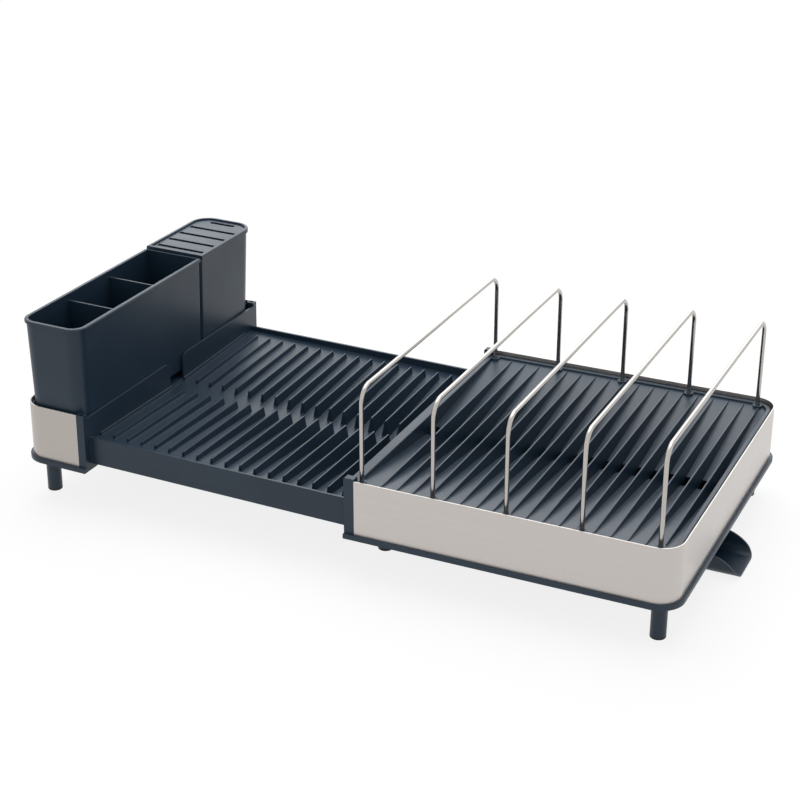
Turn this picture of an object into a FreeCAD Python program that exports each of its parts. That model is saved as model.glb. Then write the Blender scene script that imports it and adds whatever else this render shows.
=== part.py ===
import FreeCAD, Part
import math
import os

import Sketcher

# An expandable dish rack: a steel-banded main unit with a lift-out plate insert and
# five wire dividers, an extension that slides out to the left with a ribbed draining
# tray, a cutlery caddy and a knife block standing in its bay, and a swivelling spout
# under the drain. Millimetres. X runs along the rack to the right, Y from front to
# back and Z up. While it is drawn, X = 0 is the left end of the main steel band,
# Y = 0 its front face and Z = 0 the worktop; the last step moves the whole rack so
# that the origin is at the bottom centre of its bounding box.

SIZES = [
    # The main unit: its band, rim and corner posts
    ("rack_depth", 314, "steel band, front face to back face"),
    ("main_length", 281.9, "steel band, left end to right face"),
    ("band_thick", 1.0, "steel sheet of the bands"),
    ("band_height", 50.5, "height of the main band"),
    ("band_radius", 20, "outside corner radius of the bands"),
    ("rim_lip", 2.8, "how far the moulded rim stands out past the band"),
    ("rim_bottom", 36.8, "underside of the main unit above the worktop"),
    ("rim_height", 4.3, "height of the moulded rim under the band"),
    ("rim_round", 1, "rounding of the upper edge of the rims"),
    ("post_width", 9.5, "corner posts at the open left end"),
    ("post_depth", 8, "corner posts, front to back"),
    ("post_top", 93.2, "top of the corner posts"),
    ("fit_gap", 0.1, "play between pieces that are pressed together"),
    ("run_gap", 0.4, "play between pieces that move on each other"),
    ("wall_thick", 3.4, "moulded wall behind the steel"),
    ("wall_top", 84, "top of that wall, where the insert rests"),
    ("pan_edge", 40.4, "pan floor along the walls"),
    ("pan_low", 38.7, "pan floor round the drain"),
    ("rail_width", 3.8, "rails that carry the sliding tray"),
    ("rail_top", 41.9, "top of the rails"),
    ("rail_stop", 8, "gap between the rails and the right wall"),
    # The drain, its collar and the spout
    ("drain_x", 250, "drain and spout axis"),
    ("drain_pan", 41, "square level area round the drain"),
    ("collar_radius", 17, "outside radius of the collar's neck"),
    ("collar_bore", 14.8, "bore of the collar"),
    ("collar_flange", 20, "collar's flange on the pan floor"),
    ("collar_snap", 18.8, "snap ring at the collar's lower end"),
    ("collar_bottom", 31.5, "lower end of the collar"),
    ("snap_height", 1.7, "height of the collar's snap ring"),
    ("flange_thick", 1.4, "thickness of the collar's flange"),
    ("spout_width", 51, "outside width of the spout's chute"),
    ("spout_tip", 300.5, "end of the chute"),
    ("spout_bottom", 1.2, "underside of the chute above the worktop"),
    ("spout_height", 20, "height of the chute"),
    ("spout_wall", 1.6, "wall of the spout"),
    ("spout_corner", 10, "rounding of the chute's lower edges"),
    ("spout_arc", 36, "radius of the curved cut across the chute's end"),
    ("spout_nose", 8, "rounding of the chute's end, seen from above"),
    # Feet
    ("foot_radius", 6.8, "radius of the leg posts"),
    ("pad_height", 2.4, "rubber pad under each leg"),
    ("foot_right_x", 264.3, "right legs"),
    ("foot_right_inset", 19.8, "right legs, from the band's face"),
    ("foot_middle_x", 2.4, "legs at the open end of the main unit"),
    ("foot_middle_inset", 57, "those legs, from the band's face"),
    ("foot_left_x", -329.5, "legs under the extension"),
    ("foot_left_inset", 27.8, "those legs, from the band's face"),
    # The plate insert and its wires
    ("insert_edge", 3.2, "outer edge of the insert's lip, from the band's face"),
    ("lip_width", 4.3, "width of the lip"),
    ("lip_top", 88.2, "top of the lip"),
    ("strip_left", -8.5, "left side of the level strip at the open end"),
    ("strip_right", 0.8, "right side of that strip"),
    ("sheet_thick", 1.8, "moulded sheet of the two draining floors"),
    ("floor_high", 86.4, "insert's floor beside the lip"),
    ("floor_low", 71.7, "insert's floor at the central slot"),
    ("slot_width", 18, "central slot of the insert"),
    ("insert_rib_top", 86.9, "top of the insert's ribs"),
    ("rib_thick", 1.2, "thickness of the ribs at their tops"),
    ("insert_rib_draft", 0.11, "how much each side of those ribs widens with depth"),
    ("insert_rib_first", 20.5, "first rib of the insert"),
    ("insert_rib_pitch", 14.44, "spacing of those ribs"),
    ("insert_rib_count", 18, "ribs of the insert"),
    ("rib_inset", 10.5, "end of the insert's ribs, from the band's face"),
    ("wire_radius", 2, "wire dividers"),
    ("wire_first", 3.2, "first wire"),
    ("wire_pitch", 65.25, "spacing of the wires"),
    ("wire_inset", 9.9, "legs of the wires, from the band's face"),
    ("wire_top", 172.8, "axis of the wires' level top"),
    ("wire_bend", 14, "bend radius of the wires"),
    ("socket_radius", 4.4, "bosses that hold the wires"),
    ("socket_bottom", 79, "lower end of the bosses"),
    ("socket_floor", 81, "lower end of the wires"),
    ("corner_web", 6, "webs that join the lip to the strip"),
    # The extension, drawn level and leaned by its tilt
    ("extension_tilt", 0.94, "degrees that the extension leans to the drain"),
    ("tilt_lift", 0.12, "lift that keeps the tilted pads off the worktop's level"),
    ("rim_shift", 0.7, "how far the lean carries the bay's rim to the right"),
    ("tray_end", 9.6, "right end of the sliding tray"),
    ("tray_inset", 8.7, "tray walls, from the band's face"),
    ("tray_wall", 2.2, "thickness of the extension's walls"),
    ("tray_top", 74.3, "top of the tray walls"),
    ("tray_bottom", 48, "underside of the tray walls"),
    ("tray_edge_left", 70, "tray floor along its walls, left end"),
    ("tray_edge_right", 65, "the same at the right end"),
    ("channel_left", 66.6, "tray floor in the central channel, left end"),
    ("channel_right", 50, "the same at the right end"),
    ("channel_width", 24, "width of the central channel"),
    ("tray_rib_edge", 72, "top of the tray's ribs at their outer ends"),
    ("tray_rib_end", 69.6, "top of the tray's ribs at the channel"),
    ("tray_rib_start", 25, "outer ends of the tray's ribs, from the band's face"),
    ("tray_rib_draft", 0.2, "how much each side of those ribs widens with depth"),
    ("half_rib_x", -271.9, "rib that lies along the bay's wall"),
    ("tray_rib_first", -257.3, "first of the tray's free ribs"),
    ("tray_rib_pitch", 14.62, "spacing of those ribs"),
    ("tray_rib_count", 18, "rows of free ribs in the tray"),
    # The bay at the extension's left end
    ("bay_left", -339.7, "left face of the bay's band"),
    ("bay_right", -272.2, "right face of the bay's frame"),
    ("bay_post_width", 7.8, "corner posts of the bay"),
    ("bay_post_depth", 6, "corner posts of the bay, front to back"),
    ("bay_post_top", 98.2, "top of those posts"),
    ("post_hollow", 8, "depth of the hollow in their tops"),
    ("post_wall", 1.5, "wall round that hollow"),
    ("bay_rim_bottom", 41.9, "underside of the bay"),
    ("bay_band_bottom", 46.3, "lower edge of the bay's band"),
    ("bay_band_top", 98.2, "upper edge of the bay's band"),
    ("bay_wall_top", 94.6, "top of the bay's moulded walls"),
    ("bay_floor", 69, "floor that the caddy stands on"),
    ("bay_gap", 24, "gap in the wall between bay and tray"),
    ("bay_gap_radius", 8, "rounding at the top of that gap"),
    # The cutlery caddy and the knife block
    ("box_foot", 8, "height of the feet under the caddy and the block"),
    ("box_foot_width", 8, "width of those feet"),
    ("box_wall", 2, "walls of the caddy and floors of both"),
    ("box_corner", 2.5, "rounding of their facing corners"),
    ("hole_radius", 2.5, "drain holes in their floors"),
    ("hole_pitch", 14, "spacing of the drain holes, side to side"),
    ("hole_row", 9, "caddy's drain holes, from the middle of a compartment"),
    ("box_left", -332.3, "left face of both at their floor"),
    ("box_right", -275.2, "right face of both at their floor"),
    ("box_flare", 1.9, "how far their sides lean out to the top"),
    ("caddy_front", 4.2, "front face of the caddy at its floor"),
    ("caddy_lean", 2.7, "how far that face leans out to the top"),
    ("caddy_back", 208.4, "back face of the caddy"),
    ("caddy_top", 180.4, "rim of the caddy"),
    ("caddy_lip", 1.5, "how far the rims of the caddy and the block stand out"),
    ("caddy_lip_height", 2.8, "height of the caddy's rim"),
    ("box_lip_round", 1.1, "rounding of both rims"),
    ("caddy_corner", 13, "rounding of the caddy's front corners"),
    ("divider_top", 174.2, "top of the caddy's two dividers"),
    ("divider_thick", 1.6, "thickness of those dividers"),
    ("block_front", 210.4, "front face of the knife block"),
    ("block_back", 308.5, "back face of the knife block at its floor"),
    ("block_lean", 4, "how far that face leans out to the top"),
    ("block_top", 182.6, "rim of the knife block"),
    ("block_corner", 18, "rounding of the knife block's back corners"),
    ("block_lip_height", 3.8, "height of the knife block's rim"),
    ("block_rim", 3.2, "width of the knife block's rim"),
    ("block_ledge", 1.6, "ledge that carries its top plate"),
    ("block_wall", 3, "walls of the knife block at its floor"),
    ("block_hole_row", 24, "spacing of its drain holes, front to back"),
    ("block_recess", 1.5, "depth of its top plate below the rim"),
    ("block_plate", 3, "thickness of the top plate"),
    ("knife_slot_width", 4.8, "knife slots"),
    ("knife_slot_length", 52, "knife slots, along the plate"),
    ("knife_slot_short", 28, "last knife slot"),
    ("knife_slot_first", 222, "first knife slot"),
    ("knife_slot_pitch", 20.2, "spacing of the knife slots"),
]

doc = FreeCAD.newDocument("dish_rack")
sheet = doc.addObject("Spreadsheet::Sheet", "Sizes")
made = []


class Length:
    """A number together with the sheet expression that it stands for."""

    def __init__(self, number, text):
        self.number = number
        self.text = text

    def joined(self, number, sign, first, second):
        return Length(number, "(" + text_of(first) + " " + sign + " " + text_of(second) + ")")

    def __add__(self, other):
        return self.joined(self.number + number_of(other), "+", self, other)

    def __radd__(self, other):
        return self.joined(other + self.number, "+", other, self)

    def __sub__(self, other):
        return self.joined(self.number - number_of(other), "-", self, other)

    def __rsub__(self, other):
        return self.joined(other - self.number, "-", other, self)

    def __mul__(self, other):
        return self.joined(self.number * number_of(other), "*", self, other)

    def __rmul__(self, other):
        return self.joined(other * self.number, "*", other, self)

    def __truediv__(self, other):
        return self.joined(self.number / number_of(other), "/", self, other)

    def __neg__(self):
        return 0 - self


class Sizes:
    """Each driving dimension of the sheet, by its alias."""


def number_of(value):
    return value.number if isinstance(value, Length) else value


def text_of(value):
    return value.text if isinstance(value, Length) else repr(float(value))


def fill_sheet():
    sizes = Sizes()
    for row, (alias, value, meaning) in enumerate(SIZES, 1):
        sheet.set("A%d" % row, meaning)
        sheet.set("B%d" % row, str(value))
        sheet.setAlias("B%d" % row, alias)
        setattr(sizes, alias, Length(value, "Sizes." + alias))
    doc.recompute()
    return sizes


def bind(thing, path, value):
    """Set a property from the sheet."""
    thing.setExpression(path, text_of(value))


def new_body(label):
    body = doc.addObject("PartDesign::Body", label)
    body.Label = label
    made.append(body)
    return body


def new_sketch(body, name, plane, level):
    """An empty sketch on a plane of the body's own origin, moved along its normal."""
    sketch = body.newObject("Sketcher::SketchObject", name)
    role = plane + "_Plane"
    support = next(o for o in body.Origin.OriginFeatures if o.Role == role)
    sketch.AttachmentSupport = (support, [""])
    sketch.MapMode = "FlatFace"
    bind(sketch, "AttachmentOffset.Base.z", level)
    return sketch


def pin(sketch, direction, index, point, value):
    """Hold one coordinate of a point at a length from the sketch's origin."""
    rule = Sketcher.Constraint(direction, -1, 1, index, point, number_of(value))
    which = sketch.addConstraint(rule)
    bind(sketch, "Constraints[%d]" % which, value)


def add_outline(sketch, points):
    """A closed outline of straight lines through points of the sketch."""
    first = sketch.GeometryCount
    corners = [FreeCAD.Vector(number_of(a), number_of(b), 0) for a, b in points]
    count = len(corners)
    for index in range(count):
        line = Part.LineSegment(corners[index], corners[(index + 1) % count])
        sketch.addGeometry(line)
    for index in range(count):
        after = first + (index + 1) % count
        sketch.addConstraint(Sketcher.Constraint("Coincident", first + index, 2, after, 1))
    for index, (a, b) in enumerate(points):
        pin(sketch, "DistanceX", first + index, 1, a)
        pin(sketch, "DistanceY", first + index, 1, b)


def add_circle(sketch, across, up, radius):
    centre = FreeCAD.Vector(number_of(across), number_of(up), 0)
    circle = Part.Circle(centre, FreeCAD.Vector(0, 0, 1), number_of(radius))
    index = sketch.addGeometry(circle)
    pin(sketch, "DistanceX", index, 3, across)
    pin(sketch, "DistanceY", index, 3, up)
    rule = Sketcher.Constraint("Radius", index, number_of(radius))
    bind(sketch, "Constraints[%d]" % sketch.addConstraint(rule), radius)


def rectangle(x0, x1, y0, y1):
    return [(x0, y0), (x1, y0), (x1, y1), (x0, y1)]


class Plan:
    """A rectangle seen from above, with its corners rounded on one side."""

    corners = {"left": (0, 3), "right": (1, 2), "front": (0, 1), "back": (2, 3), "none": ()}

    def __init__(self, x0, x1, y0, y1, side="none", radius=0, others=0):
        self.x0 = x0
        self.x1 = x1
        self.y0 = y0
        self.y1 = y1
        self.side = side
        self.radius = radius
        self.radii = [others] * 4
        for index in Plan.corners[side]:
            self.radii[index] = radius

    def inset(self, depth):
        """The same outline further in, with its rounding to match."""
        radius = self.radius - depth if self.side != "none" else 0
        return Plan(self.x0 + depth, self.x1 - depth, self.y0 + depth, self.y1 - depth,
                    self.side, radius)


def add_plan(sketch, plan):
    """Four lines, joined by tangent arcs where a corner is rounded."""
    first = sketch.GeometryCount
    x0, x1 = number_of(plan.x0), number_of(plan.x1)
    y0, y1 = number_of(plan.y0), number_of(plan.y1)
    radii = [number_of(radius) for radius in plan.radii]
    ends = [((x0 + radii[0], y0), (x1 - radii[1], y0)),
            ((x1, y0 + radii[1]), (x1, y1 - radii[2])),
            ((x1 - radii[2], y1), (x0 + radii[3], y1)),
            ((x0, y1 - radii[3]), (x0, y0 + radii[0]))]
    for start, end in ends:
        line = Part.LineSegment(FreeCAD.Vector(*start, 0), FreeCAD.Vector(*end, 0))
        sketch.addGeometry(line)
    for index, direction in enumerate(("Horizontal", "Vertical") * 2):
        sketch.addConstraint(Sketcher.Constraint(direction, first + index))
    pin(sketch, "DistanceY", first, 1, plan.y0)
    pin(sketch, "DistanceX", first + 1, 1, plan.x1)
    pin(sketch, "DistanceY", first + 2, 1, plan.y1)
    pin(sketch, "DistanceX", first + 3, 1, plan.x0)
    centres = [(x0 + radii[0], y0 + radii[0]), (x1 - radii[1], y0 + radii[1]),
               (x1 - radii[2], y1 - radii[2]), (x0 + radii[3], y1 - radii[3])]
    for corner in range(4):
        before = first + (corner - 1) % 4
        after = first + corner
        if not radii[corner]:
            sketch.addConstraint(Sketcher.Constraint("Coincident", before, 2, after, 1))
            continue
        centre = FreeCAD.Vector(*centres[corner], 0)
        circle = Part.Circle(centre, FreeCAD.Vector(0, 0, 1), radii[corner])
        turn = math.pi / 2 * (corner + 2)
        arc = sketch.addGeometry(Part.ArcOfCircle(circle, turn, turn + math.pi / 2))
        sketch.addConstraint(Sketcher.Constraint("Tangent", before, 2, arc, 1))
        sketch.addConstraint(Sketcher.Constraint("Tangent", arc, 2, after, 1))
        rule = sketch.addConstraint(Sketcher.Constraint("Radius", arc, radii[corner]))
        bind(sketch, "Constraints[%d]" % rule, plan.radii[corner])


def outline_sketch(body, name, plane, level, *outlines):
    sketch = new_sketch(body, name, plane, level)
    for outline in outlines:
        if isinstance(outline, Plan):
            add_plan(sketch, outline)
        else:
            add_outline(sketch, outline)
    return sketch


def circle_sketch(body, name, level, circles):
    sketch = new_sketch(body, name, "XY", level)
    for across, up, radius in circles:
        add_circle(sketch, across, up, radius)
    return sketch


def extrude(body, kind, sketch, name, length, backwards=False):
    """A Pad or a Pocket of a sketch."""
    feature = body.newObject("PartDesign::" + kind, name)
    feature.Profile = sketch
    bind(feature, "Length", length)
    feature.Reversed = backwards
    doc.recompute()
    return feature


def pad_plan(body, name, plan, z0, z1):
    """A block, padded up from its lower face."""
    sketch = outline_sketch(body, name + "_plan", "XY", z0, plan)
    return extrude(body, "Pad", sketch, name, z1 - z0)


def cut_plan(body, name, plan, z0, z1):
    """A block cut away, from its upper face down."""
    sketch = outline_sketch(body, name + "_plan", "XY", z1, plan)
    before = body.Tip.Shape.Volume
    pocket = extrude(body, "Pocket", sketch, name, z1 - z0)
    if pocket.Shape.Volume >= before:
        raise RuntimeError(name + " cuts nothing")
    return pocket


def add_circles(body, name, circles, z0, z1):
    sketch = circle_sketch(body, name + "_plan", z0, circles)
    return extrude(body, "Pad", sketch, name, z1 - z0)


def cut_circles(body, name, circles, z0, z1):
    sketch = circle_sketch(body, name + "_plan", z1, circles)
    return extrude(body, "Pocket", sketch, name, z1 - z0)


def loft(body, kind, name, plane, sections):
    """A ruled loft through outlines, given as level and points."""
    sketches = []
    for index, (level, points) in enumerate(sections):
        sketches.append(outline_sketch(body, "%s_%d" % (name, index), plane, level, points))
    doc.recompute()
    feature = body.newObject("PartDesign::" + kind, name)
    feature.Profile = sketches[0]
    feature.Sections = [(sketch, [""]) for sketch in sketches[1:]]
    feature.Ruled = True
    doc.recompute()
    return feature


def turn(body, kind, name, x, y, plan):
    """A Revolution or a Groove about an upright axis, of a plan drawn in X and Z."""
    sketch = outline_sketch(body, name + "_side", "XZ", -y, plan)
    low = FreeCAD.Vector(number_of(x), 0, 0)
    high = FreeCAD.Vector(number_of(x), 10, 0)
    axis = sketch.addGeometry(Part.LineSegment(low, high), True)
    pin(sketch, "DistanceX", axis, 1, x)
    pin(sketch, "DistanceX", axis, 2, x)
    pin(sketch, "DistanceY", axis, 1, 0)
    pin(sketch, "DistanceY", axis, 2, 10)
    feature = body.newObject("PartDesign::" + kind, name)
    feature.Profile = sketch
    feature.ReferenceAxis = (sketch, ["Axis0"])
    feature.Angle = 360
    doc.recompute()
    return feature


def edges_where(feature, wanted):
    """Names of a feature's edges whose middle point and direction are wanted."""
    names = []
    for index, edge in enumerate(feature.Shape.Edges, 1):
        middle = edge.valueAt((edge.FirstParameter + edge.LastParameter) / 2)
        along = edge.tangentAt((edge.FirstParameter + edge.LastParameter) / 2)
        if wanted(middle, along):
            names.append("Edge%d" % index)
    return names


def round_edges(body, name, radius, wanted):
    base = body.Tip
    names = edges_where(base, wanted)
    if not names:
        raise RuntimeError(name + " finds no edge")
    fillet = body.newObject("PartDesign::Fillet", name)
    fillet.Base = (base, names)
    bind(fillet, "Radius", radius)
    doc.recompute()
    return fillet


def repeat_along_x(body, features, name, count, pitch):
    """Copies of features drawn on XZ planes, at a steady pitch along X."""
    pattern = body.newObject("PartDesign::LinearPattern", name)
    pattern.Originals = features
    pattern.Direction = (features[0].Profile[0], ["H_Axis"])
    bind(pattern, "Length", pitch * (count - 1))
    pattern.Occurrences = int(number_of(count))
    bind(pattern, "Occurrences", count)
    body.Tip = pattern
    doc.recompute()
    return pattern


def rib_section(s, x, top, low, draft):
    """A rib cut across: narrow at its top and wider towards its foot."""
    narrow = s.rib_thick / 2
    wide = narrow + (top - low) * draft
    return [(x - wide, low), (x + wide, low), (x + narrow, top), (x - narrow, top)]


def middle(s):
    """The rack's middle plane, front to back."""
    return s.rack_depth / 2


def make_band(s, label, left, right, bend, z0, z1):
    """A strip of steel bent round three sides of a unit, open at the other end."""
    body = new_body(label)
    outside = Plan(left, right, 0, s.rack_depth, bend, s.band_radius)
    inside = outside.inset(s.band_thick)
    if bend == "right":
        inside.x0 = left - 5
    else:
        inside.x1 = right + 5
    pad_plan(body, "Outside", outside, z0, z1)
    cut_plan(body, "Inside", inside, z0, z1)
    return body


def make_base_tray(s):
    """The main unit's moulding: rim, pan that falls to the drain, walls and posts."""
    body = new_body("base_tray")
    lip = s.rim_lip
    rim_top = s.rim_bottom + s.rim_height
    back = s.rack_depth
    radius = s.band_radius
    rim = Plan(-s.post_width, s.main_length + lip, -lip, back + lip, "right", radius + lip)
    pad_plan(body, "Rim", rim, s.rim_bottom, rim_top)

    def rim_edge(centre, along):
        return abs(centre.z - rim_top.number) < 0.1 and centre.x > 1 - s.post_width.number

    round_edges(body, "Rim_edge", s.rim_round, rim_edge)
    wall = Plan(0, s.main_length, 0, back, "right", radius).inset(s.band_thick + s.fit_gap)
    wall.x0 = 0
    pad_plan(body, "Wall", wall, rim_top - 1, s.wall_top)
    pan = wall.inset(s.wall_thick)
    pan.x0 = -20
    cut_plan(body, "Pan", pan, s.pan_edge, s.wall_top)

    half = s.drain_pan / 2
    wide = rectangle(3, pan.x1 - 3, pan.y0 + 12, pan.y1 - 12)
    square = rectangle(s.drain_x - half, s.drain_x + half, middle(s) - half, middle(s) + half)
    fall = [(s.pan_edge, wide), (s.pan_low, square)]
    loft(body, "SubtractiveLoft", "Fall_to_drain", "XY", fall)

    rail = s.tray_inset - (s.rail_width - s.tray_wall) / 2
    for name, near in (("Front_rail", rail), ("Back_rail", back - rail - s.rail_width)):
        rail_plan = Plan(-s.post_width, pan.x1 - s.rail_stop, near, near + s.rail_width)
        pad_plan(body, name, rail_plan, s.rim_bottom, s.rail_top)
    for name, near in (("Front_post", 0), ("Back_post", back - s.post_depth)):
        post_plan = Plan(-s.post_width, 0, near, near + s.post_depth)
        pad_plan(body, name, post_plan, s.rim_bottom, s.post_top)

    def post_top(centre, along):
        return abs(centre.z - s.post_top.number) < 0.1 and centre.x < -1

    round_edges(body, "Post_tops", 1.2, post_top)
    hole = [(s.drain_x, middle(s), s.collar_radius + s.fit_gap / 2)]
    cut_circles(body, "Drain", hole, s.rim_bottom, s.pan_edge)
    return body


def make_drain_collar(s):
    """The flanged ring that is pressed into the drain and carries the spout."""
    body = new_body("drain_collar")
    centre = (s.drain_x, middle(s))
    snap_top = s.collar_bottom + s.snap_height
    flange_top = s.pan_low + s.flange_thick
    add_circles(body, "Neck", [centre + (s.collar_radius,)], s.collar_bottom, s.pan_low + 1)
    add_circles(body, "Flange", [centre + (s.collar_flange,)], s.pan_low, flange_top)
    add_circles(body, "Snap_ring", [centre + (s.collar_snap,)], s.collar_bottom, snap_top)
    cut_circles(body, "Bore", [centre + (s.collar_bore,)], s.collar_bottom, flange_top)

    def outer_rims(point, along):
        reach = math.hypot(point.x - s.drain_x.number, point.y - middle(s).number)
        low = abs(point.z - s.collar_bottom.number) < 0.1 and reach > 1
        high = abs(point.z - flange_top.number) < 0.1 and reach > 1
        return low or high

    round_edges(body, "Rims", 0.5, outer_rims)
    return body


def make_drain_spout(s):
    """A chute with a round head, open above, cut off in a curve at its tip."""
    body = new_body("drain_spout")
    half = s.spout_width / 2
    front = middle(s) - half
    back = middle(s) + half
    chute_top = s.spout_bottom + s.spout_height
    head_top = s.rim_bottom - s.run_gap
    corner = s.spout_corner
    head = Plan(s.drain_x, s.drain_x + half, s.spout_bottom, head_top)
    head.radii = [0, corner, 0, 0]
    turn(body, "Revolution", "Head", s.drain_x, middle(s), head)
    length = s.spout_tip - s.drain_x
    chute = Plan(front, back, s.spout_bottom, chute_top, "front", corner)
    chute_side = outline_sketch(body, "Chute_side", "YZ", s.drain_x, chute)
    extrude(body, "Pad", chute_side, "Chute", length)

    wall = s.spout_wall
    floor = s.spout_bottom + wall
    channel = Plan(front + wall, back - wall, floor, chute_top + 1, "front", corner - wall)
    channel_side = outline_sketch(body, "Channel_side", "YZ", s.spout_tip + 1, channel)
    extrude(body, "Pocket", channel_side, "Channel", length + 1)
    lip_bottom = s.collar_bottom + s.snap_height + s.run_gap
    bowl = Plan(s.drain_x, s.drain_x + half - wall, floor, lip_bottom)
    bowl.radii = [0, corner - wall, 0, 0]
    turn(body, "Groove", "Bowl", s.drain_x, middle(s), bowl)
    mouth = [(s.drain_x, middle(s), s.collar_radius + s.run_gap)]
    cut_circles(body, "Mouth", mouth, lip_bottom, head_top)

    # The end is cut by an arc that runs level into the chute's top edge
    sketch = new_sketch(body, "Tip_side", "XZ", -back - 5)
    radius = s.spout_arc.number
    rise = s.spout_height.number
    run = math.sqrt(radius ** 2 - (radius - rise) ** 2)
    tip = FreeCAD.Vector(s.spout_tip.number, s.spout_bottom.number, 0)
    top = FreeCAD.Vector(tip.x - run, chute_top.number, 0)
    centre = FreeCAD.Vector(top.x, top.y - radius, 0)
    angle = math.asin(run / radius)
    circle = Part.Circle(centre, FreeCAD.Vector(0, 0, 1), radius)
    start = math.pi / 2 - angle
    sketch.addGeometry(Part.ArcOfCircle(circle, start, math.pi / 2))
    outside = FreeCAD.Vector(tip.x + 5, tip.y, 0)
    above = FreeCAD.Vector(tip.x + 5, chute_top.number, 0)
    for one, other in ((top, above), (above, outside), (outside, tip)):
        sketch.addGeometry(Part.LineSegment(one, other))
    for one, a, other, b in ((0, 2, 1, 1), (1, 2, 2, 1), (2, 2, 3, 1), (3, 2, 0, 1)):
        sketch.addConstraint(Sketcher.Constraint("Coincident", one, a, other, b))
    pin(sketch, "DistanceX", 0, 1, s.spout_tip)
    pin(sketch, "DistanceY", 0, 1, s.spout_bottom)
    pin(sketch, "DistanceX", 2, 1, s.spout_tip + 5)
    pin(sketch, "DistanceY", 2, 1, chute_top)
    pin(sketch, "DistanceX", 3, 1, s.spout_tip + 5)
    pin(sketch, "DistanceY", 3, 1, s.spout_bottom)
    pin(sketch, "DistanceY", 0, 3, chute_top - s.spout_arc)
    rule = sketch.addConstraint(Sketcher.Constraint("Radius", 0, radius))
    bind(sketch, "Constraints[%d]" % rule, s.spout_arc)
    before = body.Tip.Shape.Volume
    cut = extrude(body, "Pocket", sketch, "Tip", s.spout_width + 10, True)
    if cut.Shape.Volume >= before:
        raise RuntimeError("the spout's tip isn't cut")

    # Its two corners are rounded as seen from above
    beside = 0.3
    around = Plan(s.drain_x - 60, s.spout_tip + 5, front - 5, back + 5)
    kept = Plan(s.drain_x - 55, s.spout_tip, front - beside, back + beside,
                "right", s.spout_nose)
    nose = outline_sketch(body, "Nose_plan", "XY", chute_top + 1, around, kept)
    extrude(body, "Pocket", nose, "Nose", s.spout_height + 2)
    return body


def make_foot(s, label, x, y, top):
    """A plain round leg post."""
    body = new_body(label)
    add_circles(body, "Leg", [(x, y, s.foot_radius)], s.pad_height, top)
    return body


def make_pad(s, label, x, y):
    """A rubber pad with a rounded lower edge, pressed under a leg."""
    body = new_body(label)
    add_circles(body, "Pad", [(x, y, s.foot_radius)], 0, s.pad_height)
    round_edges(body, "Tread", 1.0, lambda point, along: abs(point.z) < 0.1)
    return body


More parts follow.
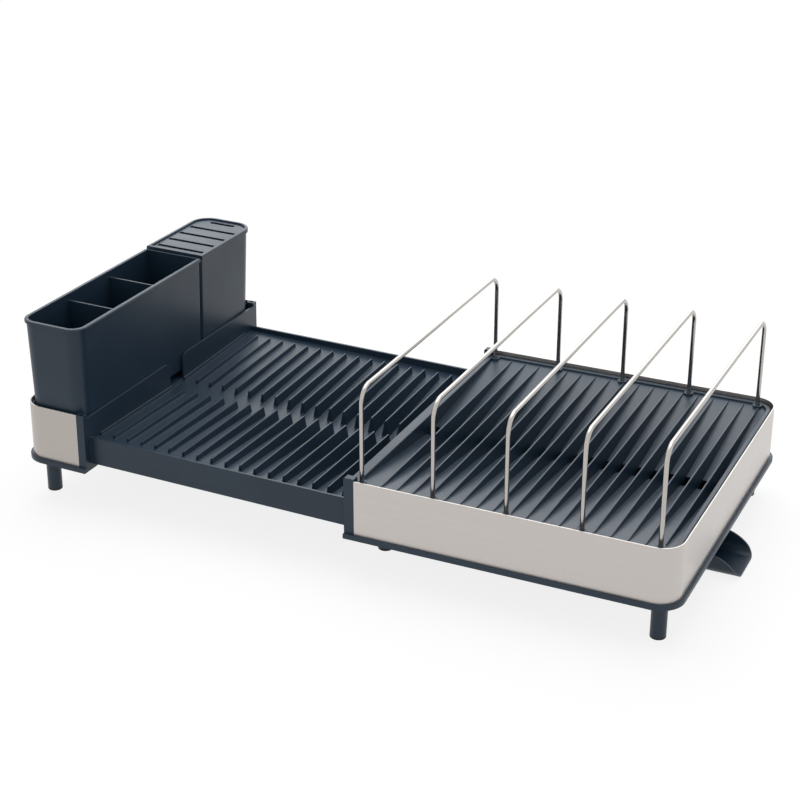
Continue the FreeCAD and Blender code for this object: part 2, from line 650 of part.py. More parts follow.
def make_rack_insert(s):
    """The plate insert: a lip, two floors that fall to a slot, ribs and wire sockets."""
    body = new_body("rack_insert")
    edge = s.insert_edge
    back = s.rack_depth
    left = s.run_gap
    right = s.main_length - edge
    strip_front = s.post_depth + s.run_gap
    lip = Plan(left, right, edge, back - edge, "right", s.band_radius - edge)
    well = lip.inset(s.lip_width)
    well.x0 = s.strip_right

    # Both floors fall in one plane from the lip to the edges of the slot
    floor = s.sheet_thick
    outer = well.y0 - 1
    slot_front = middle(s) - s.slot_width / 2
    slot_back = middle(s) + s.slot_width / 2
    fall = (s.floor_high - s.floor_low) / (slot_front - outer)

    def pad_end_wall(name, near, start):
        """A wall under the lip, as deep as the floors that end at it."""
        low = s.floor_high - floor - (near - outer) * fall
        top = s.lip_top - 1
        outline = [(near, top), (near, low), (slot_front, s.floor_low - floor),
                   (slot_back, s.floor_low - floor), (back - near, low), (back - near, top)]
        side = outline_sketch(body, name + "_side", "YZ", start, outline)
        extrude(body, "Pad", side, name, s.tray_wall)

    pad_end_wall("Left_wall", strip_front, s.strip_right - s.tray_wall)
    front_floor = [(outer, s.floor_high), (slot_front, s.floor_low),
                   (slot_front, s.floor_low - floor), (outer, s.floor_high - floor)]
    back_floor = [(back - y, z) for y, z in front_floor]
    floors = outline_sketch(body, "Floor_side", "YZ", left, front_floor, back_floor)
    extrude(body, "Pad", floors, "Floors", well.x1 + s.tray_wall - left)
    pad_end_wall("Right_wall", outer, well.x1)

    # The floors' corners are trimmed to the lip's rounding
    around = Plan(s.strip_left - 5, right + 5, -5, back + 5)
    kept = lip.inset(s.lip_width - s.tray_wall)
    kept.x0 = s.strip_left
    trim = outline_sketch(body, "Trim_plan", "XY", s.lip_top, around, kept)
    extrude(body, "Pocket", trim, "Trim", s.lip_top - s.floor_low + 5)

    ring = outline_sketch(body, "Lip_plan", "XY", s.wall_top, lip, well)
    extrude(body, "Pad", ring, "Lip", s.lip_top - s.wall_top)
    strip = Plan(s.strip_left, s.strip_right, strip_front, back - strip_front)
    pad_plan(body, "Strip", strip, s.wall_top, s.lip_top)
    web = s.post_depth
    for name, near in (("Front_web", edge), ("Back_web", back - edge - web)):
        corner = Plan(left, left + s.corner_web, near, near + web)
        pad_plan(body, name, corner, s.wall_top, s.lip_top)

    def lip_top(point, along):
        beside_strip = point.x < -8 or abs(point.x - s.strip_right.number) < 0.1
        return abs(point.z - s.lip_top.number) < 0.1 and (beside_strip or point.x > 20)

    round_edges(body, "Lip_edges", 0.9, lip_top)

    rib_low = s.floor_low - floor / 2
    rib_edge = s.floor_high - floor
    sections = []
    for y, low in ((s.rib_inset, rib_edge), (slot_front, rib_low),
                   (slot_back, rib_low), (back - s.rib_inset, rib_edge)):
        across = rib_section(s, s.insert_rib_first, s.insert_rib_top, low, s.insert_rib_draft)
        sections.append((-y, across))
    rib = loft(body, "AdditiveLoft", "Rib", "XZ", sections)
    repeat_along_x(body, [rib], "Ribs", s.insert_rib_count, s.insert_rib_pitch)

    places = wire_places(s)
    bosses = [(x, y, s.socket_radius) for x, y in places]
    add_circles(body, "Bosses", bosses, s.socket_bottom, s.lip_top - s.run_gap)
    mouths = [(x, y, s.wire_radius + s.run_gap) for x, y in places]
    cut_circles(body, "Mouths", mouths, s.lip_top - 2.4, s.lip_top)
    holes = [(x, y, s.wire_radius + s.fit_gap / 2) for x, y in places]
    cut_circles(body, "Sockets", holes, s.socket_floor, s.lip_top - 2)

    # The first bosses are cut flat beside the main unit's posts
    for name, near, far in (("Front_flat", edge, strip_front),
                            ("Back_flat", back - strip_front, back - edge)):
        room = Plan(s.strip_left, left, near, far)
        cut_plan(body, name, room, s.socket_bottom, s.lip_top)
    return body


def wire_places(s):
    """Where the ten wire ends stand in the insert."""
    places = []
    for index in range(5):
        x = s.wire_first + s.wire_pitch * index
        places.append((x, s.wire_inset))
        places.append((x, s.rack_depth - s.wire_inset))
    return places


def make_wire(s, number):
    """One divider: a steel wire bent into a wide upside-down U."""
    body = new_body("divider_wire_%d" % number)
    x = s.wire_first + s.wire_pitch * (number - 1)
    front = s.wire_inset
    back = s.rack_depth - s.wire_inset
    path = new_sketch(body, "Path", "YZ", x)
    near = front.number
    far = back.number
    low = s.socket_floor.number
    top = s.wire_top.number
    bend = s.wire_bend.number
    knee = top - bend

    def line(y0, z0, y1, z1):
        ends = FreeCAD.Vector(y0, z0, 0), FreeCAD.Vector(y1, z1, 0)
        path.addGeometry(Part.LineSegment(*ends))

    def arc(y, start, end):
        centre = FreeCAD.Vector(y, knee, 0)
        circle = Part.Circle(centre, FreeCAD.Vector(0, 0, 1), bend)
        path.addGeometry(Part.ArcOfCircle(circle, start, end))

    line(near, low, near, knee)
    arc(near + bend, math.pi / 2, math.pi)
    line(near + bend, top, far - bend, top)
    arc(far - bend, 0, math.pi / 2)
    line(far, knee, far, low)
    for one, a, other, b in ((0, 2, 1, 2), (1, 1, 2, 1), (2, 2, 3, 2), (3, 1, 4, 1)):
        path.addConstraint(Sketcher.Constraint("Tangent", one, a, other, b))
    path.addConstraint(Sketcher.Constraint("Vertical", 0))
    path.addConstraint(Sketcher.Constraint("Equal", 1, 3))
    pin(path, "DistanceX", 0, 1, front)
    pin(path, "DistanceY", 0, 1, s.socket_floor)
    pin(path, "DistanceX", 4, 2, back)
    pin(path, "DistanceY", 4, 2, s.socket_floor)
    pin(path, "DistanceY", 2, 1, s.wire_top)
    rule = path.addConstraint(Sketcher.Constraint("Radius", 1, bend))
    bind(path, "Constraints[%d]" % rule, s.wire_bend)

    section = circle_sketch(body, "Section", s.socket_floor, [(x, front, s.wire_radius)])
    doc.recompute()
    pipe = body.newObject("PartDesign::AdditivePipe", "Wire")
    pipe.Profile = section
    pipe.Spine = (path, [""])
    doc.recompute()
    return body


def make_extension_tray(s):
    """The sliding moulding: a bay for the caddy and a ribbed tray with a channel."""
    body = new_body("extension_tray")
    lip = s.rim_lip
    back = s.rack_depth
    skin = s.band_thick + s.fit_gap
    wall = s.tray_wall
    right = s.bay_right
    radius = s.band_radius
    rim = Plan(s.bay_left - lip, right, -lip, back + lip, "left", radius + lip)
    pad_plan(body, "Rim", rim, s.bay_rim_bottom, s.bay_band_bottom)

    def rim_edge(centre, along):
        return abs(centre.z - s.bay_band_bottom.number) < 0.1 and centre.x < right.number - 1

    round_edges(body, "Rim_edge", s.rim_round, rim_edge)
    walls = Plan(s.bay_left, right + skin, 0, back, "left", radius).inset(skin)
    pad_plan(body, "Walls", walls, s.bay_rim_bottom, s.bay_wall_top)
    room = walls.inset(wall)
    cut_plan(body, "Bay", room, s.bay_floor, s.bay_wall_top)
    cut_plan(body, "Underside", room, s.bay_rim_bottom, s.bay_floor - 2)

    for name, near in (("Front_post", 0), ("Back_post", back - s.bay_post_depth)):
        post = Plan(right - s.bay_post_width, right, near, near + s.bay_post_depth)
        pad_plan(body, name, post, s.bay_rim_bottom, s.bay_post_top)
        hollow = post.inset(s.post_wall)
        cut_plan(body, name + "_hollow", hollow, s.bay_post_top - s.post_hollow, s.bay_post_top)

    gap_front = middle(s) - s.bay_gap / 2
    gap_back = middle(s) + s.bay_gap / 2
    gap = Plan(right - wall - 1, right + 1, gap_front, gap_back)
    cut_plan(body, "Wall_gap", gap, s.bay_floor, s.bay_wall_top)

    def gap_top(point, along):
        beside = abs(abs(point.y - middle(s).number) - s.bay_gap.number / 2) < 0.1
        high = abs(point.z - s.bay_wall_top.number) < 0.1
        return beside and high and abs(along.x) > 0.9

    round_edges(body, "Gap_corners", s.bay_gap_radius, gap_top)

    # The tray is a block with the floors' shape, its ribs, and a hollow underneath
    inset = s.tray_inset
    start = right - wall / 2
    end = s.tray_end
    channel_front = middle(s) - s.channel_width / 2
    channel_back = middle(s) + s.channel_width / 2
    floor_inset = inset + wall / 2

    def block_section(edge, channel):
        return [(floor_inset, edge), (channel_front, channel),
                (channel_back, channel), (back - floor_inset, edge),
                (back - floor_inset, s.tray_bottom), (floor_inset, s.tray_bottom)]

    sections = [(start, block_section(s.tray_edge_left, s.channel_left)),
                (end, block_section(s.tray_edge_right, s.channel_right))]
    loft(body, "AdditiveLoft", "Floor_block", "YZ", sections)

    # Each row has a rib in front of the channel and one behind it
    rib_low = s.tray_bottom + 1.5
    draft = s.tray_rib_draft
    ends = {"Front": (s.tray_rib_start, channel_front),
            "Back": (back - s.tray_rib_start, channel_back)}
    free = []
    for name, (outer, inner) in ends.items():
        beside = []
        apart = []
        for y, top in ((outer, s.tray_rib_edge), (inner, s.tray_rib_end)):
            apart.append((-y, rib_section(s, s.tray_rib_first, top, rib_low, draft)))
            whole = rib_section(s, s.half_rib_x, top, rib_low, draft)
            beside.append((-y, [(start, rib_low), whole[1], whole[2], (start, top)]))
        loft(body, "AdditiveLoft", name + "_half_rib", "XZ", beside)
        free.append(loft(body, "AdditiveLoft", name + "_rib", "XZ", apart))
    repeat_along_x(body, free, "Ribs", s.tray_rib_count, s.tray_rib_pitch)

    hollow_inset = inset + wall
    under = s.sheet_thick

    def hollow_section(edge, channel):
        return [(hollow_inset, edge - under), (channel_front, channel - under),
                (channel_back, channel - under), (back - hollow_inset, edge - under),
                (back - hollow_inset, s.tray_bottom - 1), (hollow_inset, s.tray_bottom - 1)]

    sections = [(right, hollow_section(s.tray_edge_left, s.channel_left)),
                (end + 1, hollow_section(s.tray_edge_right, s.channel_right))]
    loft(body, "SubtractiveLoft", "Floor_hollow", "YZ", sections)

    for name, near in (("Front_side", inset), ("Back_side", back - inset - wall)):
        side_wall = Plan(start, end, near, near + wall)
        pad_plan(body, name, side_wall, s.tray_bottom, s.tray_top)
    return body


def round_top(s, body, left, top):
    """Round a rim's upper edge, all the way round."""

    def left_edge(point, along):
        return abs(point.x - left.number) < 0.1 and abs(point.z - top.number) < 0.1

    round_edges(body, "Rim_round", s.box_lip_round, left_edge)


def add_box_feet(s, body, front, back):
    """Four short feet that hold a box clear of the bay's wet floor."""
    top = s.bay_floor + s.box_foot + 1
    width = s.box_foot_width
    for row, y in (("Front", front + width * 2), ("Back", back - width * 3)):
        for side, x in (("left", s.box_left + width), ("right", s.box_right - width * 2)):
            foot = Plan(x, x + width, y, y + width)
            pad_plan(body, row + "_foot_" + side, foot, s.bay_floor + s.fit_gap, top)


def make_cutlery_caddy(s):
    """A tall box with a rim, three compartments and drain holes."""
    body = new_body("cutlery_caddy")
    floor = s.bay_floor + s.box_foot
    front = s.caddy_front
    back = s.caddy_back
    flare = s.box_flare
    lean = s.caddy_lean
    corner = s.caddy_corner
    low = Plan(s.box_left, s.box_right, front, back, "front", corner, s.box_corner)
    high = Plan(s.box_left - flare, s.box_right + flare, front - lean, back,
                "front", corner, s.box_corner)
    loft(body, "AdditiveLoft", "Outside", "XY", [(floor, low), (s.caddy_top, high)])

    lip = s.caddy_lip
    rim = Plan(high.x0 - lip, high.x1 + lip, high.y0 - lip, back + 0.4,
               "front", corner + lip, s.box_corner)
    pad_plan(body, "Rim", rim, s.caddy_top - s.caddy_lip_height, s.caddy_top)
    round_top(s, body, rim.x0, s.caddy_top)
    wall = s.box_wall
    mouth = high.inset(wall)
    cut_plan(body, "Mouth", mouth, s.divider_top, s.caddy_top)

    room = (back - front - wall * 2 - s.divider_thick * 2) / 3
    for index in range(3):
        near = front + wall + (room + s.divider_thick) * index
        far = near + room
        side = "front" if index == 0 else "none"
        near_high = near - lean if index == 0 else near
        high = Plan(mouth.x0, mouth.x1, near_high, far, side, corner - wall)
        low = Plan(s.box_left + wall, s.box_right - wall, near, far, side, corner - wall)
        sections = [(s.divider_top, high), (floor + wall, low)]
        loft(body, "SubtractiveLoft", "Room_%d" % (index + 1), "XY", sections)
        holes = []
        for column in (-1, 0, 1):
            x = (s.box_left + s.box_right) / 2 + s.hole_pitch * column
            holes.append((x, near + room / 2 - s.hole_row, s.hole_radius))
            holes.append((x, near + room / 2 + s.hole_row, s.hole_radius))
        cut_circles(body, "Drain_holes_%d" % (index + 1), holes, floor - 1, floor + wall)

    add_box_feet(s, body, front, back)
    return body


def make_knife_block(s):
    """A tall box with a raised rim that holds the slotted top plate."""
    body = new_body("knife_block")
    floor = s.bay_floor + s.box_foot
    front = s.block_front
    back = s.block_back
    flare = s.box_flare
    corner = s.block_corner
    low = Plan(s.box_left, s.box_right, front, back, "back", corner, s.box_corner)
    high = Plan(s.box_left - flare, s.box_right + flare, front, back + s.block_lean,
                "back", corner, s.box_corner)
    loft(body, "AdditiveLoft", "Outside", "XY", [(floor, low), (s.block_top, high)])

    rim = block_rim_plan(s)
    pad_plan(body, "Rim", rim, s.block_top - s.block_lip_height, s.block_top)
    round_top(s, body, rim.x0, s.block_top)
    seat = s.block_top - s.block_recess - s.block_plate
    cut_plan(body, "Seat", rim.inset(s.block_rim), seat, s.block_top)

    ledge = s.block_rim + s.block_ledge - s.caddy_lip
    sections = [(seat, high.inset(ledge)), (floor + s.box_wall, low.inset(s.block_wall))]
    loft(body, "SubtractiveLoft", "Inside", "XY", sections)
    holes = []
    for column in (-1, 0, 1):
        x = (s.box_left + s.box_right) / 2 + s.hole_pitch * column
        for row in (-1, 0, 1):
            y = (front + back) / 2 + s.block_hole_row * row
            holes.append((x, y, s.hole_radius))
    cut_circles(body, "Drain_holes", holes, floor - 1, floor + s.box_wall)
    add_box_feet(s, body, front, back)
    return body


def block_rim_plan(s):
    """Outside of the knife block's rim, flush in front where the caddy stands."""
    side = s.box_flare + s.caddy_lip
    back = s.block_back + s.block_lean + s.caddy_lip
    return Plan(s.box_left - side, s.box_right + side, s.block_front, back,
                "back", s.block_corner + s.caddy_lip)


def make_knife_block_top(s):
    """The plate with five slots that knives are pushed through."""
    body = new_body("knife_block_top")
    plate = block_rim_plan(s).inset(s.block_rim).inset(s.fit_gap)
    top = s.block_top - s.block_recess
    pad_plan(body, "Plate", plate, top - s.block_plate, top)
    x0 = plate.x0
    x1 = plate.x1
    centre = (x0 + x1) / 2
    half = s.knife_slot_width / 2
    for index in range(5):
        length = s.knife_slot_length if index < 4 else s.knife_slot_short
        y = s.knife_slot_first + s.knife_slot_pitch * index
        left = centre - length / 2
        slot = Plan(left, left + length, y - half, y + half)
        cut_plan(body, "Slot_%d" % (index + 1), slot, top - s.block_plate, top)

    def slot_ends(point, along):
        return abs(along.z) > 0.9 and x0.number + 4 < point.x < x1.number - 4

    round_edges(body, "Slot_ends", half * 0.9, slot_ends)
    return body


def place_on_base(s, body):
    """Move a piece from the drawing's origin to the rack's."""
    bind(body, "Placement.Base.x", -centre_x(s))
    bind(body, "Placement.Base.y", -middle(s))


def place_on_extension(s, body):
    """The same, with the extension's lean about its leg's foot on the worktop."""
    body.Placement.Rotation = FreeCAD.Rotation(FreeCAD.Vector(0, 1, 0), 1)
    pivot = s.foot_left_x.text
    angle = s.extension_tilt.text
    bind(body, "Placement.Rotation.Angle", s.extension_tilt)
    lean = pivot + " * (1 - cos(" + angle + " * 1 deg))"
    body.setExpression("Placement.Base.x", lean + " - " + centre_x(s).text)
    bind(body, "Placement.Base.y", -middle(s))
    body.setExpression("Placement.Base.z", pivot + " * sin(" + angle + " * 1 deg) + " + s.tilt_lift.text)


def centre_x(s):
    """Middle of the rack along X, from the bay's rim to the spout's tip."""
    bay_rim = s.bay_left - s.rim_lip + s.rim_shift
    return (bay_rim + s.spout_tip) / 2


def build_all(s):
    rim_top = s.rim_bottom + s.rim_height
    band_top = rim_top + s.band_height
    make_base_tray(s)
    make_band(s, "base_band", 0, s.main_length, "right", rim_top, band_top)
    make_drain_collar(s)
    make_drain_spout(s)
    legs = [("front_right", s.foot_right_x, s.foot_right_inset),
            ("back_right", s.foot_right_x, s.rack_depth - s.foot_right_inset),
            ("front_middle", s.foot_middle_x, s.foot_middle_inset),
            ("back_middle", s.foot_middle_x, s.rack_depth - s.foot_middle_inset)]
    for place, x, y in legs:
        make_foot(s, "foot_" + place, x, y, s.rim_bottom)
        make_pad(s, "pad_" + place, x, y)
    make_rack_insert(s)
    for number in range(1, 6):
        make_wire(s, number)
    for body in made:
        place_on_base(s, body)

    level = len(made)
    make_extension_tray(s)
    bay_band_right = s.bay_right - s.bay_post_width
    make_band(s, "extension_band", s.bay_left, bay_band_right, "left",
              s.bay_band_bottom, s.bay_band_top)
    legs = [("front_left", s.foot_left_inset),
            ("back_left", s.rack_depth - s.foot_left_inset)]
    for place, y in legs:
        make_foot(s, "foot_" + place, s.foot_left_x, y, s.bay_floor - 2)
        make_pad(s, "pad_" + place, s.foot_left_x, y)
    make_cutlery_caddy(s)
    make_knife_block(s)
    make_knife_block_top(s)
    for body in made[level:]:
        place_on_extension(s, body)
    doc.recompute()


def check_and_write():
    """Stop on any failed object or bad shape, then write one file for each piece."""
    for thing in doc.Objects:
        if "Invalid" in thing.State or "Error" in thing.State:
            raise RuntimeError(thing.Name + " failed: " + ", ".join(thing.State))
    for body in made:
        shape = body.Shape
        if shape.isNull() or not shape.isValid() or len(shape.Solids) != 1:
            raise RuntimeError(body.Label + " isn't one valid solid")
    os.makedirs("parts", exist_ok=True)
    for body in made:
        body.Shape.exportStep("parts/" + body.Label + ".step")
        box = body.Shape.BoundBox
        print("%-18s %8.1f mm3  x %.1f..%.1f  y %.1f..%.1f  z %.2f..%.2f" % (
            body.Label, body.Shape.Volume, box.XMin, box.XMax,
            box.YMin, box.YMax, box.ZMin, box.ZMax))


build_all(fill_sheet())
check_and_write()
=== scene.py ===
import math

import bpy
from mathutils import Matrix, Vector

# An expandable dish rack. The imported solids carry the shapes; this script gives them
# their moulded plastic, brushed steel, drawn wire and rubber, and sets up a plain
# studio round them. Metres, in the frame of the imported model.

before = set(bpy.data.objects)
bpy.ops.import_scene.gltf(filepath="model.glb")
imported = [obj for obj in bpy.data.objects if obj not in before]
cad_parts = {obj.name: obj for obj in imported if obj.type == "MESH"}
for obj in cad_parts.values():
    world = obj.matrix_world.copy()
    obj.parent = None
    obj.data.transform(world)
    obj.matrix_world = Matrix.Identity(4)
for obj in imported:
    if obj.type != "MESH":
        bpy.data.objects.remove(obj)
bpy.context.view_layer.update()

# The extension leans this far about Y, towards the main unit.
EXTENSION_TILT = math.radians(0.94)

# Camera. The angles are in degrees, below level and about Z; the lens is in millimetres.
CAMERA_PLACE = (0.60825, -1.3128, 0.7594)
CAMERA_DOWN = 24.570
CAMERA_TURN = 25.221
CAMERA_LENS = 78.36
CAMERA_SENSOR = 36
CAMERA_REACH = (0.05, 60)

# Colours of the materials, linear.
PLASTIC_DARK = (0.0110, 0.0252, 0.0445)
PLASTIC_LIGHT = (0.0165, 0.0348, 0.0585)
MAIN_STEEL = (0.540, 0.508, 0.482)
# The extension's band is the same steel painted darker: a painted shade standing in for the
# dimmer reflections it gets further left.
BAY_STEEL_SHADED = (0.440, 0.405, 0.380)
# A pale steel for the painted highlight along the bands' edges.
STEEL_HIGHLIGHT = (0.86, 0.85, 0.84)
WIRE_STEEL = (0.500, 0.475, 0.450)
RUBBER_DARK = (0.012, 0.013, 0.015)
RUBBER_LIGHT = (0.022, 0.024, 0.027)
# A paler rubber for the painted highlight along the pads' edges.
RUBBER_HIGHLIGHT = (0.05, 0.052, 0.056)

# The floor's two greys: as it lights the object, and as the camera sees it under the glow
# that brings it up to white.
FLOOR_HALF = 9.0
FLOOR_LIT = (0.62, 0.65)
FLOOR_SEEN = (0.165, 0.175)
FLOOR_GLOW = 0.84

# How bright the world is, as it lights the object and as the camera sees it.
WORLD_LIT = 0.55
WORLD_SEEN = 1.0

# Each lamp's name, place, the point it faces, its two sides and its watts.
LAMPS = [
    ("Overhead", (-0.15, 0.35, 1.55), (0, 0, 0.05), (1.7, 1.3), 16),
    ("Back", (-0.7, 2.1, 1.25), (0, 0, 0.1), (2.6, 1.5), 18),
]


def add_camera():
    data = bpy.data.cameras.new("Camera")
    data.sensor_width = CAMERA_SENSOR
    data.lens = CAMERA_LENS
    data.clip_start, data.clip_end = CAMERA_REACH
    camera = bpy.data.objects.new("Camera", data)
    camera.location = CAMERA_PLACE
    camera.rotation_euler = (math.radians(90 - CAMERA_DOWN), 0, math.radians(CAMERA_TURN))
    bpy.context.scene.collection.objects.link(camera)
    bpy.context.scene.camera = camera


# Materials


def shade(tone, factor=1.0, lift=0.0):
    """A tone made lighter or darker, as a colour with full alpha."""
    return tuple(min(1.0, part * factor + lift) for part in tone) + (1.0,)


def grey(value):
    return shade((value, value, value))


class Graph:
    """A tree of shader nodes. Scales are in features per metre."""

    def __init__(self, tree):
        self.tree = tree

    def add(self, kind, settings=None, **inputs):
        """A node, with its settings, and its inputs set or linked by their names."""
        node = self.tree.nodes.new("ShaderNode" + kind)
        for key, value in (settings or {}).items():
            setattr(node, key, value)
        for key, value in inputs.items():
            self.put(node, key.replace("_", " "), value)
        return node

    def put(self, node, key, value):
        """Link or set one input, given by its name or its number."""
        socket = node.inputs[key]
        if isinstance(value, bpy.types.NodeSocket):
            self.tree.links.new(value, socket)
        else:
            socket.default_value = value

    def place(self, scale, turn):
        """The object's own coordinates, turned about Y and stretched."""
        coordinates = self.add("TexCoord").outputs["Object"]
        if turn:
            turned = self.add("Mapping", Vector=coordinates, Rotation=(0, turn, 0))
            coordinates = turned.outputs["Vector"]
        return self.add("Mapping", Vector=coordinates, Scale=scale).outputs["Vector"]

    def noise(self, scale, detail=2, turn=0.0, roughness=0.5):
        """Soft noise, with one scale or one each along X, Y and Z."""
        if not isinstance(scale, tuple):
            scale = (scale, scale, scale)
        node = self.add("TexNoise", Vector=self.place(scale, turn), Scale=1.0,
                        Detail=detail, Roughness=roughness)
        return node.outputs["Fac"]

    def span(self, value, low, high, start=0.3, end=0.7):
        """The value, spread from start and end to low and high."""
        node = self.add("MapRange", Value=value, From_Min=start, From_Max=end,
                        To_Min=low, To_Max=high)
        return node.outputs["Result"]

    def maths(self, operation, first, second):
        node = self.add("Math", {"operation": operation})
        self.put(node, 0, first)
        self.put(node, 1, second)
        return node.outputs["Value"]

    def blend(self, factor, first, second):
        """A colour between two colours."""
        node = self.add("Mix", {"data_type": "RGBA"})
        for index, value in ((0, factor), (6, first), (7, second)):
            self.put(node, index, value)
        return node.outputs[2]

    def bump(self, height, strength, distance, normal=None):
        node = self.add("Bump", Height=height, Strength=strength, Distance=distance)
        if normal is not None:
            self.put(node, "Normal", normal)
        return node.outputs["Normal"]

    def edge(self, radius):
        """The normal with edges softened, and how near an edge is, from 0 to 1."""
        soft = self.add("Bevel", {"samples": 6}, Radius=radius).outputs["Normal"]
        node = self.add("VectorMath", {"operation": "DOT_PRODUCT"})
        self.put(node, 0, soft)
        self.put(node, 1, self.add("NewGeometry").outputs["Normal"])
        return soft, self.span(node.outputs["Value"], low=1.0, high=0.0, start=0.80, end=0.995)

    def surface(self, **inputs):
        """Set or link the inputs of the tree's own shader."""
        for key, value in inputs.items():
            self.put(self.tree.nodes["Principled BSDF"], key.replace("_", " "), value)


def new_material(name):
    """A material, and the graph of its nodes."""
    material = bpy.data.materials.new(name)
    material.use_nodes = True
    return material, Graph(material.node_tree)


def moulded_plastic(name, roughness):
    """Satin polypropylene from a fine spark-eroded mould, with a painted highlight along its
    edges.
    """
    material, graph = new_material(name)
    soft, near_edge = graph.edge(radius=0.0007)
    grain = graph.noise(1300, detail=3, roughness=0.65)

    flow = graph.span(graph.noise((7, 7, 11), detail=3), low=0.0, high=1.0, start=0.35, end=0.65)
    body = graph.blend(flow, shade(PLASTIC_DARK), shade(PLASTIC_LIGHT))
    speck = graph.span(grain, low=0.0, high=0.25, start=0.45, end=0.75)
    body = graph.blend(speck, body, shade(PLASTIC_LIGHT, factor=1.5, lift=0.004))
    # Painted highlight: near the edges the colour is lifted, in patches, towards a much lighter
    # plastic, standing in for light caught by rounded edges.
    highlight_patches = graph.span(graph.noise(90, detail=3), low=0.1, high=0.4)
    edge_highlight_mask = graph.maths("MULTIPLY", near_edge, highlight_patches)
    body = graph.blend(edge_highlight_mask, body, shade(PLASTIC_LIGHT, factor=2.0, lift=0.02))

    gloss = graph.span(graph.noise(16, detail=4), low=roughness - 0.04, high=roughness + 0.05)
    gloss = graph.maths("ADD", gloss, graph.span(grain, low=-0.03, high=0.03))
    peel = graph.bump(graph.noise(120), strength=0.05, distance=0.0006, normal=soft)
    relief = graph.bump(grain, strength=0.16, distance=0.00012, normal=peel)
    graph.surface(Base_Color=body, Roughness=gloss, Normal=relief, IOR=1.43)
    return material


def brushed_steel(name, tone, turn=0.0):
    """Stainless sheet, brushed along its length, with a painted highlight along its edges."""
    material, graph = new_material(name)
    soft, near_edge = graph.edge(radius=0.0004)
    fine = graph.noise((9, 9, 3600), turn=turn)
    coarse = graph.noise((3, 3, 520), detail=3, turn=turn)
    broad = graph.noise((5, 5, 28), detail=3, turn=turn)

    lines = graph.maths("ADD", graph.span(fine, low=-0.05, high=0.05),
                        graph.span(coarse, low=-0.014, high=0.014))
    lines = graph.maths("ADD", lines, graph.span(broad, low=-0.012, high=0.012))
    middle = 0.5
    body = graph.blend(graph.maths("ADD", lines, middle), shade(tone, factor=0.72),
                       shade(tone, factor=1.28))
    # Painted highlight: near the edges the colour is lifted towards a pale steel, standing in
    # for light caught by the rolled edge.
    steel_highlight_share = 0.5
    body = graph.blend(graph.maths("MULTIPLY", near_edge, steel_highlight_share), body, shade(STEEL_HIGHLIGHT))

    gloss = graph.maths("ADD", graph.span(fine, low=0.27, high=0.36),
                        graph.span(broad, low=-0.02, high=0.03))
    scratches = graph.bump(fine, strength=0.10, distance=0.00004, normal=soft)
    relief = graph.bump(coarse, strength=0.02, distance=0.00008, normal=scratches)
    tangent = graph.add("Tangent", {"direction_type": "RADIAL", "axis": "Z"})
    graph.surface(Base_Color=body, Metallic=1.0, Roughness=gloss, Normal=relief,
                  Anisotropic=0.65, Anisotropic_Rotation=0.25,
                  Tangent=tangent.outputs["Tangent"])
    return material


def drawn_wire(name, tone):
    """Round steel wire, drawn and lightly polished along its length."""
    material, graph = new_material(name)
    drawn = graph.noise((2600, 14, 14))
    cloudy = graph.noise((60, 22, 22), detail=3)
    factor = graph.maths("ADD", graph.span(drawn, low=0.35, high=0.6),
                         graph.span(cloudy, low=-0.1, high=0.12))
    body = graph.blend(factor, shade(tone, factor=0.80), shade(tone, factor=1.12))
    gloss = graph.maths("ADD", graph.span(drawn, low=0.17, high=0.23),
                        graph.span(cloudy, low=-0.02, high=0.04))
    relief = graph.bump(drawn, strength=0.08, distance=0.00003)
    graph.surface(Base_Color=body, Metallic=1.0, Roughness=gloss, Normal=relief)
    return material


def pad_rubber(name):
    """Soft dark rubber, matt, with a fine grain and a painted highlight along its edges."""
    material, graph = new_material(name)
    soft, near_edge = graph.edge(radius=0.0005)
    grain = graph.noise(900, detail=3)
    clouds = graph.span(graph.noise(70, detail=3), low=0.0, high=1.0)
    body = graph.blend(clouds, shade(RUBBER_DARK), shade(RUBBER_LIGHT))
    # Painted highlight: near the edges the colour is lifted towards a paler rubber, standing in
    # for light caught by rounded edges.
    rubber_highlight_share = 0.3
    body = graph.blend(graph.maths("MULTIPLY", near_edge, rubber_highlight_share), body, shade(RUBBER_HIGHLIGHT))
    graph.surface(Base_Color=body, Roughness=graph.span(grain, low=0.66, high=0.82),
                  Normal=graph.bump(grain, strength=0.3, distance=0.0001, normal=soft))
    return material


def dress(names, material):
    """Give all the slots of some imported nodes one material."""
    for name in names:
        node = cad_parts[name]
        for slot in node.material_slots:
            slot.material = material
        if not node.material_slots:
            node.data.materials.append(material)


def dress_all():
    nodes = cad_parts
    bands = ["base_band", "extension_band"]
    wires = [name for name in nodes if name.startswith("divider_wire")]
    pads = [name for name in nodes if name.startswith("pad_")]
    moulded = [name for name in nodes if name not in bands + wires + pads]
    dress(moulded, moulded_plastic("grey_plastic", roughness=0.38))
    dress(wires, drawn_wire("wire_steel", WIRE_STEEL))
    dress(pads, pad_rubber("pad_rubber"))
    dress(["base_band"], brushed_steel("brushed_band", MAIN_STEEL))
    # The extension's band takes the darker steel, a painted shade.
    dress(["extension_band"], brushed_steel("brushed_band_leaned_shaded", BAY_STEEL_SHADED, -EXTENSION_TILT))


# Studio


def seen_white(graph):
    """1 for rays from the camera, a mirror or glass, and 0 for the rest."""
    path = graph.add("LightPath").outputs
    total = graph.maths("MAXIMUM", path["Is Camera Ray"], path["Is Glossy Ray"])
    return graph.maths("MAXIMUM", total, path["Is Transmission Ray"])


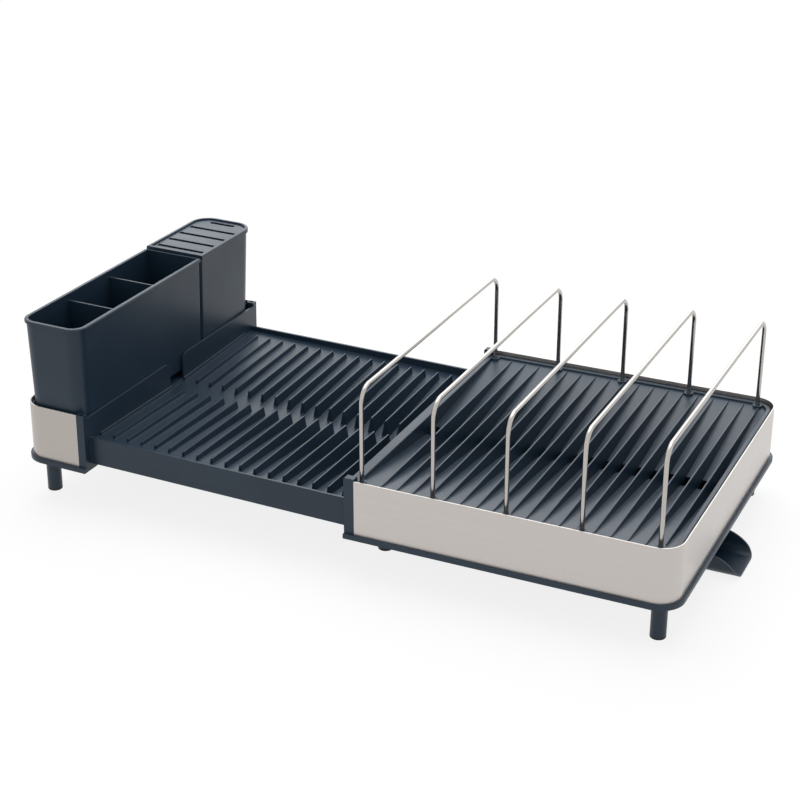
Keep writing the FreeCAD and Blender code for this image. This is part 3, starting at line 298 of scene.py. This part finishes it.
def floor_material():
    """Pale paper that keeps the shadow and shows white where nothing shades it."""
    material, graph = new_material("Floor")
    graph.tree.nodes.remove(graph.tree.nodes["Principled BSDF"])
    paper = graph.span(graph.noise(900, detail=3), low=0.0, high=1.0)
    lit, seen_tone = [graph.blend(paper, grey(low), grey(high))
                      for low, high in (FLOOR_LIT, FLOOR_SEEN)]
    seen = seen_white(graph)
    diffuse = graph.add("BsdfDiffuse", Color=graph.blend(seen, lit, seen_tone))
    glow = graph.add("Emission", Color=grey(1),
                     Strength=graph.maths("MULTIPLY", seen, FLOOR_GLOW))
    both = graph.add("AddShader")
    graph.put(both, 0, diffuse.outputs[0])
    graph.put(both, 1, glow.outputs[0])
    graph.put(graph.tree.nodes["Material Output"], "Surface", both.outputs[0])
    return material


def add_floor():
    mesh = bpy.data.meshes.new("Floor")
    near, far = -FLOOR_HALF, FLOOR_HALF
    corners = [(near, near, 0), (far, near, 0), (far, far, 0), (near, far, 0)]
    mesh.from_pydata(corners, [], [(0, 1, 2, 3)])
    mesh.materials.append(floor_material())
    floor = bpy.data.objects.new("Floor", mesh)
    bpy.context.scene.collection.objects.link(floor)


def add_world():
    world = bpy.data.worlds.new("Studio")
    world.use_nodes = True
    bpy.context.scene.world = world
    graph = Graph(world.node_tree)
    strength = graph.span(seen_white(graph), WORLD_LIT, WORLD_SEEN, start=0, end=1)
    background = graph.tree.nodes["Background"]
    graph.put(background, "Color", grey(1))
    graph.put(background, "Strength", strength)


def add_lamp(name, place, target, sides, watts):
    data = bpy.data.lights.new(name, "AREA")
    data.shape = "RECTANGLE"
    data.size, data.size_y = sides
    data.energy = watts
    lamp = bpy.data.objects.new(name, data)
    lamp.location = place
    aim = Vector(target) - Vector(place)
    lamp.rotation_euler = aim.to_track_quat("-Z", "Y").to_euler()
    bpy.context.scene.collection.objects.link(lamp)


def add_studio():
    add_floor()
    add_world()
    for lamp in LAMPS:
        add_lamp(*lamp)
    bpy.context.scene.view_settings.view_transform = "Standard"


add_camera()
dress_all()
add_studio()
